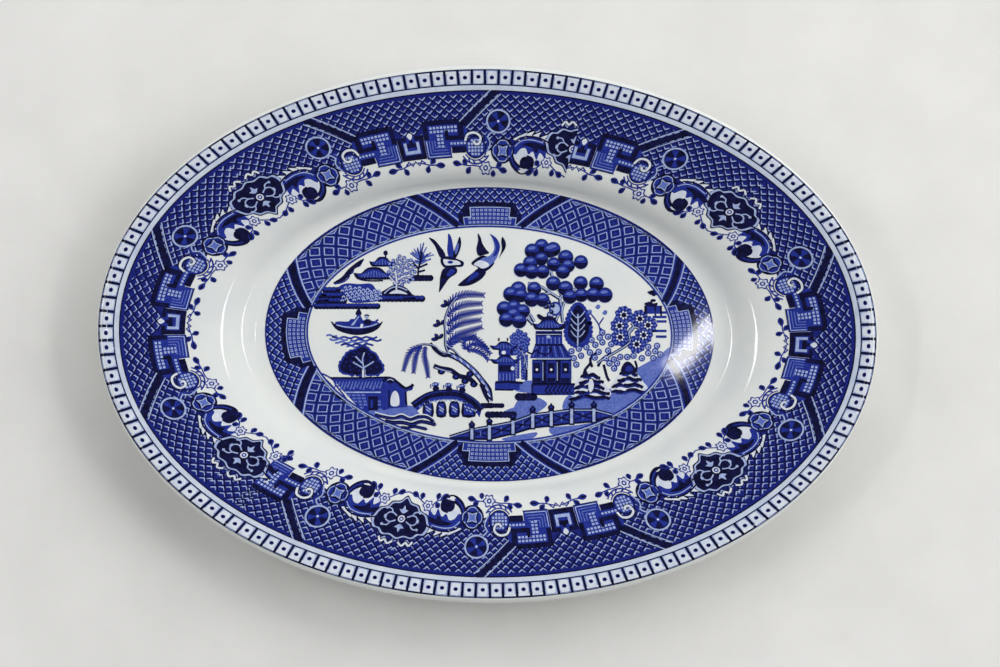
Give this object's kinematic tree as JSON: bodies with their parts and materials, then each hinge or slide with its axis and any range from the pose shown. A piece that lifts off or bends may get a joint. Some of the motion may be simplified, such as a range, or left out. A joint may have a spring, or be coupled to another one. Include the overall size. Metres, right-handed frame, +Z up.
{
  "type": "oval dinner plate",
  "caption": "Shallow oval dinner plate with a broad sloping rim, rolled lip and low foot ring, printed in blue under a clear glaze; carries a served meal.",
  "frame": {"origin": "on the resting plane, under the middle of the oval", "axes": "+X along the plate's long axis, +Y along its short axis towards the top of the landscape, +Z up out of the well"},
  "size_m": [0.243, 0.168, 0.0194],
  "materials": {
    "fired_clay": "bare fired clay, fine and matt, seen only on the ground face of the foot",
    "clear_glaze": "clear glossy glaze, slightly bluish over white clay",
    "blue_print": "cobalt underglaze print, from pale blue to nearly black navy"
  },
  "bodies": {
    "root": {"biscuit_body": "fired_clay", "face_glaze": "clear_glaze", "base_glaze": "clear_glaze", "edge_strip": "blue_print", "border_strip_left": "blue_print", "border_strip_right": "blue_print", "centre_print": "blue_print"}
  },
  "joints": []
}
